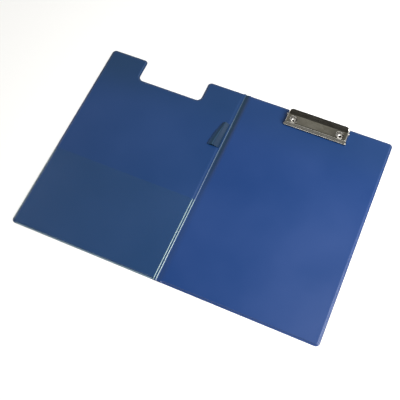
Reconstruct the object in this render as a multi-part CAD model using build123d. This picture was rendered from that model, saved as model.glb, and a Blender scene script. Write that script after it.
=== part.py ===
from build123d import *
import os
from math import asin, atan2, cos, degrees, pi, radians, sin, sqrt, tan

# A foldover clipboard lying open, inside face up, in millimetres.
# X runs from the front cover to the back cover, Y up towards the clip, Z up from the table.
# The origin is under the middle of the spine, on the table.

# Covers and spine
PANEL_WIDTH = 235.0
PANEL_HEIGHT = 340.0
SPINE_WIDTH = 10.0
CORNER_RADIUS = 6.0
BOARD_THICKNESS = 2.0
FILM_THICKNESS = 0.3
WELD_RIM = 1.9
LINER_LEAN = 24.0
BOARD_PLAY = 0.1

# Clearances at each crease, measured from its fold line
OUTER_FILM_GAP = 0.3
SPINE_FILM_GAP = 0.2
INNER_FILM_GAP = 0.6

# Ridge that the spare film of the spine's lining makes when the folder lies open
RIDGE_OFFSET = -2.4
RIDGE_HEIGHT = 1.7
RIDGE_FOOT = 3.2
RIDGE_LAND = 0.5
RIDGE_ROUNDING = 0.4

# Clear pocket inside the front cover
POCKET_HEIGHT = 137.0
POCKET_THICKNESS = 0.2
POCKET_PLAY = 0.25

# Pen loop beside the spine
LOOP_BELOW_TOP = 63.0
LOOP_LENGTH = 45.0
LOOP_WIDTH = 14.5
LOOP_HEIGHT = 3.6
LOOP_WALL = 0.4
LOOP_LIFT = 0.15
LOOP_FROM_CREASE = 4.0
LOOP_ROOT_RUN = 3.4
LOOP_ROOT_BEND = 0.3

# Clip, measured from the middle of its front lip on the back cover's face
CLIP_SHIFT = -0.2
CLIP_SETBACK = 3.5
CLIP_DEPTH = 27.1
CLIP_HALF_LENGTH = 51.0
SHEET = 0.8
LIP_GAP = 0.2
LIP_HEIGHT = 2.8
LEDGE_DEPTH = 1.5
LEDGE_RISE = 0.5
PLATEAU_START = 3.6
PLATEAU_LOW = 7.2
PLATEAU_HIGH = 7.5
THUMB_RAMP = 4.0
THUMB_LIP = 4.5
THUMB_BEND_HEIGHT = 8.3
THUMB_HEIGHT = 10.2
JAW_BENDS = [0.8, 0.8, 0.9, 3.0, 3.0]
FLANGE_BOW = 5.0
FLANGE_REAR = 2.0
FLANGE_REAR_HEIGHT = 4.0
ACCESS_HOLE_RADIUS = 6.6
ACCESS_HOLE_LEAD = 1.1

# Base plate, its ears and the rod
BASE_HALF_LENGTH = 46.0
BASE_START = 2.6
BASE_SETBACK = 2.5
BASE_CORNER = 2.0
ROD_RADIUS = 1.2
ROD_PLAY = 0.05
ROD_SETBACK = 8.5
ROD_HEIGHT = 4.1
ROD_HEAD_RADIUS = 1.8
ROD_HEAD_LENGTH = 0.5
EAR_WALL = 1.1
EAR_BASE = 9.0
EAR_STEP = 2.0

# Torsion springs on the rod
SPRING_WIRE_RADIUS = 0.45
SPRING_PLAY = 0.15
SPRING_PITCH = 1.4
SPRING_WHOLE_TURNS = 3
SPRING_OFFSET_X = 22.0
SPRING_REACH = 5.2
SPRING_SEAT_GAP = 0.12

# Tubular rivets
RIVET_OFFSET_X = 38.0
RIVET_SHIFT = 0.5
RIVET_RADIUS = 2.0
RIVET_BORE_RADIUS = 1.6
RIVET_PLAY = 0.1
RIVET_HEAD_RADIUS = 4.5
RIVET_HEAD_THICKNESS = 0.5
RIVET_HEAD_RECESS = 0.05
RIVET_FLOOR = 0.4
RIVET_FLARE_RADIUS = 5.3
RIVET_FLARE_EDGE = 0.4
RIVET_FLARE_HEIGHT = 1.3
RIVET_CROWN_INSET = 1.2
RIVET_MOUTH = 0.7

# Notch in the front cover, which clears the clip when the folder is shut
NOTCH_SIDE_CLEARANCE = 4.0
NOTCH_FRONT_CLEARANCE = 8.4
NOTCH_SHIFT = 1.0
NOTCH_INNER_RADIUS = 8.0

# Levels and places that follow from the sizes above
CREASE_X = SPINE_WIDTH / 2
PANEL_CENTRE_X = CREASE_X + PANEL_WIDTH / 2
TOP_EDGE = PANEL_HEIGHT / 2
BOARD_TOP = FILM_THICKNESS + BOARD_THICKNESS
COVER_FACE = BOARD_TOP + FILM_THICKNESS
RIM_TOP = 2 * FILM_THICKNESS
POCKET_TOP_Y = POCKET_HEIGHT - TOP_EDGE
LOOP_LOW_Y = TOP_EDGE - LOOP_BELOW_TOP - LOOP_LENGTH
CLIP_CENTRE_X = PANEL_CENTRE_X + CLIP_SHIFT
CLIP_FRONT = TOP_EDGE - CLIP_SETBACK - CLIP_DEPTH
THUMB_BEND = CLIP_DEPTH - THUMB_LIP
THUMB_START = THUMB_BEND - THUMB_RAMP
THUMB_SLOPE = (THUMB_HEIGHT - THUMB_BEND_HEIGHT) / THUMB_LIP
BASE_DEPTH = CLIP_DEPTH - BASE_SETBACK - BASE_START
ROD_Y = CLIP_DEPTH - ROD_SETBACK
RIVET_Y = (PLATEAU_START + THUMB_START) / 2 + RIVET_SHIFT
RIVET_PLACES = [
    (CLIP_CENTRE_X - RIVET_OFFSET_X, CLIP_FRONT + RIVET_Y),
    (CLIP_CENTRE_X + RIVET_OFFSET_X, CLIP_FRONT + RIVET_Y),
]


def along_y(section, low, high):
    """A section drawn in X and Z, run from one Y to another."""
    plane = Plane(origin=(0, high, 0), x_dir=(1, 0, 0), z_dir=(0, -1, 0))
    return extrude(plane * section, high - low)


def along_x(section, low, high):
    """A section drawn in Y and Z, run from one X to another."""
    return extrude(Plane.YZ.offset(low) * section, high - low)


def disc(centre, radius, low, high):
    """An upright cylinder from one height to another."""
    return Pos(*centre, (low + high) / 2) * Cylinder(radius, high - low)


def bent_strip(points, radius, width):
    """The section of a bent sheet, from the middle line of its wall."""
    return trace(FilletPolyline(*points, radius=radius), width)


# Cover outlines


def cover_outline(side, gap):
    """A cover's outline, from its crease outwards. side is 1 for the back cover and -1 for the front."""
    width = PANEL_WIDTH - gap
    centre = side * (CREASE_X + gap + width / 2)
    outline = Pos(centre, 0) * Rectangle(width, PANEL_HEIGHT)
    far = side * (CREASE_X + PANEL_WIDTH)
    corners = [v for v in outline.vertices() if abs(v.X - far) < 0.01]
    return fillet(corners, CORNER_RADIUS)


def notch_outline():
    """The gap in the front cover's top edge, mirrored from the clip about the spine."""
    width = 2 * (CLIP_HALF_LENGTH + NOTCH_SIDE_CLEARANCE)
    depth = CLIP_SETBACK + CLIP_DEPTH + NOTCH_FRONT_CLEARANCE
    centre = NOTCH_SHIFT - CLIP_CENTRE_X
    return Pos(centre, TOP_EDGE - depth / 2) * Rectangle(width, depth)


def front_outline(gap):
    """The front cover's outline with its notch, every corner rounded."""
    notch = notch_outline()
    bounds = notch.bounding_box()
    outline = cover_outline(-1, gap) - notch
    at_notch = [v for v in outline.vertices() if bounds.min.X - 0.01 < v.X < bounds.max.X + 0.01]
    inner = [v for v in at_notch if v.Y < TOP_EDGE - 0.01]
    outline = fillet(inner, NOTCH_INNER_RADIUS)
    tabs = [
        v
        for v in outline.vertices()
        if v.Y > TOP_EDGE - 0.01 and min(abs(v.X - bounds.min.X), abs(v.X - bounds.max.X)) < 0.01
    ]
    return fillet(tabs, CORNER_RADIUS)


def shrunk(outline, inset):
    """An outline moved inwards by a steady distance."""
    return offset(outline, -inset, kind=Kind.ARC)


# Films and boards


def draped_film(outline, foot, base, rise, wall):
    """A film that lies on the rim below it and rises over the board."""
    rim = Pos(0, 0, base) * extrude(outline, wall)
    hill = Pos(0, 0, base) * extrude(shrunk(outline, foot), rise + wall, taper=LINER_LEAN)
    hollow = Pos(0, 0, base) * extrude(shrunk(outline, foot + wall), rise, taper=LINER_LEAN)
    return rim + hill - hollow


def board(outline):
    """A greyboard panel, held between the films inside their weld."""
    lean_run = tan(radians(LINER_LEAN)) * BOARD_THICKNESS
    inset = WELD_RIM + FILM_THICKNESS + lean_run + BOARD_PLAY
    return Pos(0, 0, FILM_THICKNESS) * extrude(shrunk(outline, inset), BOARD_THICKNESS)


def rivet_holes(radius, low, high):
    """Both rivet holes, as the cylinders to cut."""
    return [disc(place, radius, low, high) for place in RIVET_PLACES]


def back_outer_skin():
    """The film under the back cover, pressed up into a dimple round each rivet head."""
    skin = extrude(cover_outline(1, OUTER_FILM_GAP), FILM_THICKNESS)
    dimple = RIVET_HEAD_RECESS + RIVET_HEAD_THICKNESS + RIVET_PLAY
    wide = RIVET_HEAD_RADIUS + RIVET_PLAY
    for place in RIVET_PLACES:
        skin += disc(place, wide + FILM_THICKNESS, 0, dimple + FILM_THICKNESS)
        skin -= disc(place, wide, -1, dimple)
    for hole in rivet_holes(RIVET_RADIUS + RIVET_PLAY, -1, COVER_FACE):
        skin -= hole
    return skin


def back_board():
    """The back cover's board, bored for the rivets and crushed where their heads press."""
    panel = board(cover_outline(1, INNER_FILM_GAP))
    crushed = RIVET_HEAD_RECESS + RIVET_HEAD_THICKNESS + RIVET_PLAY + FILM_THICKNESS
    for place in RIVET_PLACES:
        panel -= disc(place, RIVET_HEAD_RADIUS + RIVET_PLAY + FILM_THICKNESS, 0, crushed)
    for hole in rivet_holes(RIVET_RADIUS + RIVET_PLAY, 0, COVER_FACE):
        panel -= hole
    return panel


def liner(outline):
    """The film over a cover's board."""
    return draped_film(outline, WELD_RIM, FILM_THICKNESS, BOARD_THICKNESS, FILM_THICKNESS)


def back_inner_liner():
    """The lining of the back cover, with the rivet holes."""
    film = liner(cover_outline(1, INNER_FILM_GAP))
    for hole in rivet_holes(RIVET_RADIUS + RIVET_PLAY, 0, COVER_FACE + 1):
        film -= hole
    return film


def spine_skin():
    """The outer film between the two creases."""
    half = CREASE_X - SPINE_FILM_GAP
    return Pos(0, 0, FILM_THICKNESS / 2) * Box(2 * half, PANEL_HEIGHT, FILM_THICKNESS)


def spine_liner():
    """The inner film between the creases. Its spare width stands up as one ridge."""
    half = CREASE_X - INNER_FILM_GAP
    low = FILM_THICKNESS * 1.5
    points = [
        (-half, low),
        (-half + RIDGE_LAND, low),
        (RIDGE_OFFSET, low + RIDGE_HEIGHT),
        (RIDGE_OFFSET + RIDGE_FOOT, low),
        (half, low),
    ]
    section = bent_strip(points, RIDGE_ROUNDING, FILM_THICKNESS)
    return along_y(section, -TOP_EDGE, TOP_EDGE)


def clear_pocket():
    """A clear film welded at the left, the foot and the spine, and open at the top."""
    outline = front_outline(INNER_FILM_GAP)
    lean_run = tan(radians(LINER_LEAN)) * FILM_THICKNESS
    foot = WELD_RIM + lean_run - POCKET_THICKNESS - BOARD_PLAY
    rise = COVER_FACE + POCKET_PLAY - RIM_TOP
    film = draped_film(outline, foot, RIM_TOP, rise, POCKET_THICKNESS)
    above = Pos(-PANEL_CENTRE_X, POCKET_TOP_Y + PANEL_HEIGHT, 0) * Box(
        2 * PANEL_WIDTH, 2 * PANEL_HEIGHT, PANEL_HEIGHT
    )
    return film - above


def pen_loop():
    """A film loop welded on the front cover's rim beside the spine, lying flat on the cover."""
    middle = -CREASE_X - LOOP_FROM_CREASE - LOOP_WIDTH / 2
    height = COVER_FACE + LOOP_LIFT + LOOP_HEIGHT / 2
    bore = SlotOverall(LOOP_WIDTH - 2 * LOOP_WALL, LOOP_HEIGHT - 2 * LOOP_WALL)
    loop = Pos(middle, height) * (SlotOverall(LOOP_WIDTH, LOOP_HEIGHT) - bore)
    weld = RIM_TOP + LOOP_WALL / 2
    under = COVER_FACE + LOOP_LIFT + LOOP_WALL / 2
    root = [
        (-CREASE_X - INNER_FILM_GAP, weld),
        (-CREASE_X - WELD_RIM, weld),
        (-CREASE_X - LOOP_ROOT_RUN, under),
        (middle + LOOP_WIDTH / 4, under),
    ]
    section = loop + bent_strip(root, LOOP_ROOT_BEND, LOOP_WALL)
    return along_y(section, LOOP_LOW_Y, LOOP_LOW_Y + LOOP_LENGTH)


# Clip


def on_clip(shape):
    """A shape drawn from the middle of the clip's front lip, put in its place."""
    return Pos(CLIP_CENTRE_X, CLIP_FRONT, COVER_FACE) * shape


def jaw_line():
    """The middle of the jaw's sheet from front lip to thumb lip, as Y and Z."""
    wall = SHEET / 2
    return [
        (wall, LIP_GAP),
        (wall, LIP_HEIGHT),
        (wall + LEDGE_DEPTH, LIP_HEIGHT + LEDGE_RISE),
        (PLATEAU_START, PLATEAU_LOW),
        (THUMB_START, PLATEAU_HIGH),
        (THUMB_BEND, THUMB_BEND_HEIGHT),
        (CLIP_DEPTH, THUMB_HEIGHT),
    ]


def flange_outline():
    """The side view of an end flange, cut back at the rear so that the thumb lip can go down."""
    rear = CLIP_DEPTH - FLANGE_REAR
    return [
        *jaw_line()[:6],
        (rear, THUMB_HEIGHT - FLANGE_REAR * THUMB_SLOPE),
        (rear, FLANGE_REAR_HEIGHT),
        (THUMB_START, LIP_GAP),
    ]


def flange_bow(inset):
    """The right end flange's bowed line, as X and Z, moved in by a distance."""
    foot = (CLIP_HALF_LENGTH - inset, 0)
    top = (CLIP_HALF_LENGTH - FLANGE_BOW - inset, THUMB_HEIGHT + SHEET)
    middle = (CLIP_HALF_LENGTH - FLANGE_BOW / 4 - inset, THUMB_HEIGHT / 2)
    return ThreePointArc(foot, middle, top)


def between_flanges(inset):
    """The region between both end flanges, in X and Z."""
    right = flange_bow(inset)
    left = mirror(right, Plane.YZ)
    head = Line(right @ 1, left @ 1)
    foot = Line(left @ 0, right @ 0)
    return make_face([*right.edges(), head.edge(), *left.edges(), foot.edge()])


def jaw_plate():
    """The plated jaw, pressed from one sheet: lip, plateau, thumb lip and two end flanges."""
    ends = (-CLIP_HALF_LENGTH, CLIP_HALF_LENGTH)
    top = along_x(bent_strip(jaw_line(), JAW_BENDS, SHEET), *ends)
    sides = along_x(make_face(Polyline(*flange_outline(), close=True)), *ends)
    whole = along_y(between_flanges(0), -SHEET, CLIP_DEPTH + SHEET)
    hollow = along_y(between_flanges(SHEET), -SHEET, CLIP_DEPTH + SHEET)
    jaw = (top & whole) + (sides & (whole - hollow))
    for side in (-1, 1):
        place = (side * RIVET_OFFSET_X, RIVET_Y - ACCESS_HOLE_LEAD)
        jaw -= disc(place, ACCESS_HOLE_RADIUS, PLATEAU_LOW - 2 * SHEET, PLATEAU_HIGH + SHEET)
    jaw -= along_x(Pos(ROD_Y, ROD_HEIGHT) * Circle(ROD_RADIUS + ROD_PLAY), *ends)
    return on_clip(jaw)


def base_plate():
    """The plate under the jaw, riveted to the cover, with an ear at each end for the rod."""
    centre = BASE_START + BASE_DEPTH / 2
    blank = Pos(0, centre) * RectangleRounded(2 * BASE_HALF_LENGTH, BASE_DEPTH, BASE_CORNER)
    plate = extrude(blank, SHEET)
    ear = Pos(ROD_Y, EAR_STEP / 2) * Rectangle(EAR_BASE, EAR_STEP)
    ear += Pos(ROD_Y, ROD_HEIGHT / 2) * Rectangle(2 * (ROD_RADIUS + EAR_WALL), ROD_HEIGHT)
    ear += Pos(ROD_Y, ROD_HEIGHT) * Circle(ROD_RADIUS + EAR_WALL)
    ear -= Pos(ROD_Y, ROD_HEIGHT) * Circle(ROD_RADIUS + ROD_PLAY)
    plate += along_x(ear, BASE_HALF_LENGTH - SHEET, BASE_HALF_LENGTH)
    plate += along_x(ear, -BASE_HALF_LENGTH, SHEET - BASE_HALF_LENGTH)
    for side in (-1, 1):
        plate -= disc((side * RIVET_OFFSET_X, RIVET_Y), RIVET_RADIUS + RIVET_PLAY, -1, 2 * SHEET)
    return on_clip(plate)


def pivot_rod():
    """The rod through ears and flanges, with both ends peened over."""
    shank = CLIP_HALF_LENGTH + ROD_PLAY
    rod = along_x(Circle(ROD_RADIUS), -shank, shank)
    head = Circle(ROD_HEAD_RADIUS)
    rod += along_x(head, shank, shank + ROD_HEAD_LENGTH)
    rod += along_x(head, -shank - ROD_HEAD_LENGTH, -shank)
    return on_clip(Pos(0, ROD_Y, ROD_HEIGHT) * rod)


def biarc(start, start_way, end, end_way):
    """Two arcs that join one point and direction to another, smoothly."""
    across = end - start
    spread = 2 * (start_way.dot(end_way) - 1)
    pull = across.dot(start_way + end_way)
    reach = (2 * pull - sqrt(4 * pull * pull - 4 * spread * across.dot(across))) / (2 * spread)
    first = start + start_way * reach
    second = end - end_way * reach
    middle = (first + second) / 2
    onward = (second - first).normalized()
    return [TangentArc(start, middle, tangent=start_way), TangentArc(middle, end, tangent=onward)]


def print_least_gap(arcs, arcs_in_half_turn):
    """Prints the least gap between turns, from points on arcs at least a half turn apart."""
    rings = [[arc @ (step / 8) for step in range(9)] for arc in arcs]
    apart = min(
        (one - other).length
        for low in range(len(rings))
        for high in range(low + arcs_in_half_turn, len(rings))
        for one in rings[low]
        for other in rings[high]
    )
    print("least gap between spring turns, mm:", round(apart - 2 * SPRING_WIRE_RADIUS, 2))


def spring_leg(tip_height, radius):
    """The slope and length of a spring's leg, from the side of its coil to its tip under the lip."""
    drop = abs(tip_height - ROD_HEIGHT)
    reach = sqrt(SPRING_REACH**2 + drop**2)
    slope = degrees(atan2(drop, SPRING_REACH) - asin(radius / reach))
    return slope, sqrt(reach**2 - radius**2)


def torsion_spring(side):
    """One spring: a leg on the base plate, the coil round the rod, and a leg under the thumb lip."""
    radius = ROD_RADIUS + SPRING_PLAY + SPRING_WIRE_RADIUS
    seat = SPRING_WIRE_RADIUS + SPRING_SEAT_GAP
    lip_middle = THUMB_BEND_HEIGHT + (ROD_Y + SPRING_REACH - THUMB_BEND) * THUMB_SLOPE
    under_lip = lip_middle - (SHEET / 2 + seat) * sqrt(1 + THUMB_SLOPE**2)
    upper_slope, upper_leg = spring_leg(under_lip, radius)
    lower_slope, lower_leg = spring_leg(SHEET + seat, radius)
    first = -90 - lower_slope
    turned = 360 * SPRING_WHOLE_TURNS + 180 - lower_slope - upper_slope
    quarters = 4 * SPRING_WHOLE_TURNS + 2
    climb = SPRING_PITCH / (2 * pi * radius)
    places = []
    ways = []
    for step in range(quarters + 1):
        angle = radians(first - turned * step / quarters)
        along = side * SPRING_PITCH * turned / 360 * (step / quarters - 0.5)
        places.append(Vector(along, radius * cos(angle), radius * sin(angle)))
        ways.append(Vector(side * climb, sin(angle), -cos(angle)).normalized())
    path = []
    for step in range(quarters):
        path += biarc(places[step], ways[step], places[step + 1], ways[step + 1])
    print_least_gap(path, 4)
    coil = Wire([edge for arc in path for edge in arc.edges()])
    wire = sweep(Plane(places[0], z_dir=ways[0]) * Circle(SPRING_WIRE_RADIUS), coil)
    legs = ((places[0], -ways[0], lower_leg), (places[-1], ways[-1], upper_leg))
    for place, way, length in legs:
        wire += extrude(Plane(place, z_dir=way) * Circle(SPRING_WIRE_RADIUS), length)
    return on_clip(Pos(side * SPRING_OFFSET_X, ROD_Y, ROD_HEIGHT) * wire)


def rivets():
    """Both tubular rivets: a flat head under the cover and a flared, rolled end on the base plate."""
    floor = RIVET_HEAD_RECESS
    head_top = floor + RIVET_HEAD_THICKNESS
    seat = COVER_FACE + SHEET
    crown = seat + RIVET_FLARE_HEIGHT
    half = [
        (0, floor),
        (RIVET_HEAD_RADIUS, floor),
        (RIVET_HEAD_RADIUS, head_top),
        (RIVET_RADIUS, head_top),
        (RIVET_RADIUS, seat),
        (RIVET_FLARE_RADIUS, seat),
        (RIVET_FLARE_RADIUS, seat + RIVET_FLARE_EDGE),
        (RIVET_FLARE_RADIUS - RIVET_CROWN_INSET, crown),
        (RIVET_BORE_RADIUS + RIVET_MOUTH, crown),
        (RIVET_BORE_RADIUS, seat),
        (RIVET_BORE_RADIUS, head_top + RIVET_FLOOR),
        (0, head_top + RIVET_FLOOR),
    ]
    rivet = revolve(Plane.XZ * make_face(Polyline(*half, close=True)), Axis.Z)
    return Compound([Pos(*place, 0) * rivet for place in RIVET_PLACES])


PARTS = {
    "back_cover_board": back_board(),
    "back_cover_outer_skin": back_outer_skin(),
    "back_cover_inner_liner": back_inner_liner(),
    "front_cover_board": board(front_outline(INNER_FILM_GAP)),
    "front_cover_outer_skin": extrude(front_outline(OUTER_FILM_GAP), FILM_THICKNESS),
    "front_cover_inner_liner": liner(front_outline(INNER_FILM_GAP)),
    "spine_outer_skin": spine_skin(),
    "spine_inner_liner": spine_liner(),
    "clear_pocket": clear_pocket(),
    "pen_loop": pen_loop(),
    "clip_base_plate": base_plate(),
    "clip_jaw_plate": jaw_plate(),
    "clip_pivot_rod": pivot_rod(),
    "jaw_spring_left": torsion_spring(-1),
    "jaw_spring_right": torsion_spring(1),
    "clip_rivets": rivets(),
}

os.makedirs("parts", exist_ok=True)
for name, shape in PARTS.items():
    export_step(shape, f"parts/{name}.step")
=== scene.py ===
from math import cos, dist, exp, pi, radians, sin, sqrt

import bmesh
import bpy
import numpy as np
from mathutils import Matrix, Vector, noise
from mathutils.geometry import delaunay_2d_cdt


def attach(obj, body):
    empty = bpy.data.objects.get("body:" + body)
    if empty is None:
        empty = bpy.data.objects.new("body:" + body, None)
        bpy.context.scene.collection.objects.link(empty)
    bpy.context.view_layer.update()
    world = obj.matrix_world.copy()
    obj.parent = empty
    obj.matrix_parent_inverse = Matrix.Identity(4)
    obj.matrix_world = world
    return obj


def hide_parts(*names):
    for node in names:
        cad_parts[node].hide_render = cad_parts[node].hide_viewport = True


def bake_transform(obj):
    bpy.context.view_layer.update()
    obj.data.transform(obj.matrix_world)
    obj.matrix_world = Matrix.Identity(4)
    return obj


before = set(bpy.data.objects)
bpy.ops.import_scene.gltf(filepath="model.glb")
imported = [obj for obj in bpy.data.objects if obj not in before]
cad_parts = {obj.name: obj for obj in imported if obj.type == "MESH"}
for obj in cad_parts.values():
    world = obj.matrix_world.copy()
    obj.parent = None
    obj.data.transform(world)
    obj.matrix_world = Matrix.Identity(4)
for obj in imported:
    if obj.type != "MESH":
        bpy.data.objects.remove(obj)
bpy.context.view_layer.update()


# The camera stands in front of the open folder and looks down on it from the
# right of its spine, as the photograph does. Place and turn come from a fit of
# the folder's corners.
CAMERA_PLACE = (0.2146, -0.4261, 0.9286)
CAMERA_TURN = (25.7226, 2.0460, 23.7104)
LENS_MM = 62.25
SENSOR_MM = 36


def new_object(name, data):
    """An object of some data, put in the scene."""
    placed = bpy.data.objects.new(name, data)
    bpy.context.scene.collection.objects.link(placed)
    return placed


camera_data = bpy.data.cameras.new("camera")
camera_data.lens = LENS_MM
camera_data.sensor_width = SENSOR_MM
camera_data.clip_start = 0.01
camera = new_object("camera", camera_data)
camera.location = CAMERA_PLACE
camera.rotation_euler = [radians(turn) for turn in CAMERA_TURN]
bpy.context.scene.camera = camera


# The studio: a pale matt floor, a dim warm surround and large soft lights. The
# surround is what the nickel plate reflects, so it is darker than the floor.
FLOOR_HALF = 3.0
FLOOR_DROP = 0.0002
FLOOR_COLOUR = (0.9, 0.9, 0.895, 1)
FLOOR_GLOW = 0.14
# the surround's light, by the sine of the height over the floor, up to the dark ceiling
SURROUND_STEPS = [
    (0.0, (0.56, 0.555, 0.54, 1)), (0.2, (0.47, 0.465, 0.445, 1)), (0.45, (0.4, 0.39, 0.365, 1)),
    (0.78, (0.33, 0.32, 0.285, 1)), (0.88, (0.2, 0.195, 0.17, 1)), (0.94, (0.06, 0.058, 0.05, 1)),
    (0.98, (0.022, 0.021, 0.018, 1)),
]
SOFT_LIGHTS = {
    # name: place, aim, width, length, watts
    "right_softbox": ((0.85, 0.02, 0.85), (0.1, 0, 0), 0.6, 0.8, 21),
    "left_strip": ((-1.45, 0.35, 0.7), (-0.1, 0, 0), 0.35, 1.3, 4),
    "front_softbox": ((0.2, -1.6, 0.9), (0.1, 0.1, 0), 1.2, 0.5, 4.5),
}


def plain_material(name, colour, roughness, metallic=0.0):
    """A material with one Principled shader, and its node tree's handles."""
    material = bpy.data.materials.new(name)
    material.use_nodes = True
    shader = material.node_tree.nodes["Principled BSDF"]
    shader.inputs["Base Color"].default_value = colour
    shader.inputs["Roughness"].default_value = roughness
    shader.inputs["Metallic"].default_value = metallic
    return material, material.node_tree, shader


def colour_steps(tree, source, steps):
    """Turns a value into a colour that runs through steps of value and colour."""
    ramp = tree.nodes.new("ShaderNodeValToRGB")
    tree.links.new(source, ramp.inputs["Fac"])
    stops = ramp.color_ramp.elements
    while len(stops) < len(steps):
        stops.new(1)
    for stop, (position, colour) in zip(stops, steps):
        stop.position = position
        stop.color = colour
    return ramp.outputs["Color"]


floor_mesh = bpy.data.meshes.new("floor")
floor_sides = [(-1, -1), (1, -1), (1, 1), (-1, 1)]
floor_corners = [(x * FLOOR_HALF, y * FLOOR_HALF, -FLOOR_DROP) for x, y in floor_sides]
floor_mesh.from_pydata(floor_corners, [], [(0, 1, 2, 3)])
floor = new_object("floor", floor_mesh)
floor_material, _, floor_shader = plain_material("floor_paint", FLOOR_COLOUR, 0.9)
floor_shader.inputs["Emission Color"].default_value = FLOOR_COLOUR
floor_shader.inputs["Emission Strength"].default_value = FLOOR_GLOW
floor_mesh.materials.append(floor_material)

world = bpy.data.worlds.new("surround")
world.use_nodes = True
sky = world.node_tree
sky_way = sky.nodes.new("ShaderNodeTexCoord")
sky_parts = sky.nodes.new("ShaderNodeSeparateXYZ")
sky.links.new(sky_way.outputs["Generated"], sky_parts.inputs["Vector"])
sky_tone = colour_steps(sky, sky_parts.outputs["Z"], SURROUND_STEPS)
sky.links.new(sky_tone, sky.nodes["Background"].inputs["Color"])
bpy.context.scene.world = world

for light_name, (place, aim, width, length, watts) in SOFT_LIGHTS.items():
    light_data = bpy.data.lights.new(light_name, "AREA")
    light_data.shape = "RECTANGLE"
    light_data.size = width
    light_data.size_y = length
    light_data.energy = watts
    light = new_object(light_name, light_data)
    light.location = place
    light.rotation_euler = (Vector(aim) - Vector(place)).to_track_quat("-Z", "Y").to_euler()

bpy.context.scene.view_settings.view_transform = "Standard"


# The outer film: soft blue PVC sheet, 0.3 mm thick, one sheet across both
# covers and the spine. It is welded to the inner film in a line round the edge.
# The halves meet in the middle of the spine.
MM = 0.001
CREASE_X = 5.0
COVER_X = 240.0
COVER_Y = 170.0
COVER_CORNER = 6.0
NOTCH_LEFT = -176.3
NOTCH_RIGHT = -66.3
NOTCH_FLOOR_Y = 131.0
NOTCH_CORNER = 8.0
FILM = 0.3
SPINE_ZONE = 12.0
EDGE_STEP = 6.0
FINE_STEP = 1.0
FINE_STEPS = 11
ARC_STEPS = 10
GRID_STEP = 9.0
# inset from the edge and height, from the weld at the edge to the flat face
OUTER_FILM_LINE = [
    (0, 0.1), (0.04, 0.03), (0.12, 0), (0.62, 0), (0.74, 0.08), (0.84, 0.11), (1.2, 0.11), (1.32, 0.06),
    (1.44, 0), (1.9, 0), (2.4, 0), (3.0, 0), (3.6, 0), (4.2, 0), (4.7, 0), (4.9, 0), (5.0, 0), (5.1, 0),
    (5.3, 0), (5.8, 0), (6.4, 0), (7.0, 0), (7.6, 0), (8.6, 0),
]
CREASE_GROOVE = 0.06
PVC_BLUE = (0.0083, 0.0412, 0.145, 1)
PVC_BLUE_WORN = (0.0113, 0.0465, 0.16, 1)
PVC_IOR = 1.53
PEEL_SCALE = 260
GRAIN_SCALE = 1500


def make_piece(name, points, faces, crease_angle=40):
    """A mesh object from points in millimetres, smooth but for its sharp edges."""
    mesh = bpy.data.meshes.new(name)
    mesh.from_pydata([[c * MM for c in p] for p in points], [], faces)
    work = bmesh.new()
    work.from_mesh(mesh)
    bmesh.ops.remove_doubles(work, verts=work.verts, dist=1e-7)
    bmesh.ops.dissolve_degenerate(work, edges=work.edges, dist=1e-8)
    work.to_mesh(mesh)
    work.free()
    piece = new_object(name, mesh)
    smooth(piece, crease_angle)
    return piece


def smooth(piece, crease_angle):
    """Shades a piece smooth, with the edges over an angle kept sharp."""
    for face in piece.data.polygons:
        face.use_smooth = True
    piece.data.set_sharp_from_angle(angle=radians(crease_angle))


def settle(piece):
    """Makes a piece's modifiers a part of its mesh."""
    bpy.context.view_layer.update()
    mesh = bpy.data.meshes.new_from_object(piece.evaluated_get(bpy.context.evaluated_depsgraph_get()))
    piece.modifiers.clear()
    piece.data = mesh
    mesh.name = piece.name


def thicken(piece, wall, crease_angle=40):
    """Gives a sheet its wall, below the side that its faces look to."""
    solidify = piece.modifiers.new("wall", "SOLIDIFY")
    solidify.thickness = wall * MM
    solidify.offset = -1
    solidify.use_even_offset = True
    solidify.use_quality_normals = True
    settle(piece)
    for spot in piece.data.vertices:
        spot.co.x = max(-COVER_X * MM, min(COVER_X * MM, spot.co.x))
        spot.co.y = max(-COVER_Y * MM, min(COVER_Y * MM, spot.co.y))
    smooth(piece, crease_angle)


def outline_ring(corners, inset):
    """The points round an outline of square corners, moved inwards by inset.
    A corner is its place and radius. Every inset gives the same count of points."""
    arcs = []
    for i, (x, y, radius) in enumerate(corners):
        before, after = corners[i - 1], corners[(i + 1) % len(corners)]
        way_in = Vector((x - before[0], y - before[1])).normalized()
        way_out = Vector((after[0] - x, after[1] - y)).normalized()
        corner = Vector((x - inset * (way_in.y + way_out.y), y + inset * (way_in.x + way_out.x)))
        if way_in.cross(way_out) < 0:
            bend = radius + inset
        elif radius == 0:
            bend = min(1.5, 0.6 * inset)
        else:
            bend = max(radius - inset, 1.0)
        centre = corner - way_in * bend + way_out * bend
        arcs.append([
            centre + bend * (way_in * sin(pi / 2 * k / ARC_STEPS) - way_out * cos(pi / 2 * k / ARC_STEPS))
            for k in range(ARC_STEPS + 1)
        ])
    ring = []
    for i, arc in enumerate(arcs):
        ring += arc
        next_place = corners[(i + 1) % len(corners)]
        length = abs(next_place[0] - corners[i][0]) + abs(next_place[1] - corners[i][1])
        count = max(1, round(length / EDGE_STEP))
        onward = arcs[(i + 1) % len(arcs)][0]
        stops = [k / count for k in range(1, count)]
        if next_place[1] == corners[i][1]:
            # finer steps beside the spine, where the film bends
            fine = [FINE_STEP * k / length for k in range(1, FINE_STEPS + 1)]
            if corners[i][2] == 0:
                stops = fine + [stop for stop in stops if stop > fine[-1]]
            if next_place[2] == 0:
                stops = [stop for stop in stops if stop < 1 - fine[-1]]
                stops += [1 - stop for stop in reversed(fine)]
        ring += [arc[-1].lerp(onward, stop) for stop in stops]
    return ring


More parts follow.
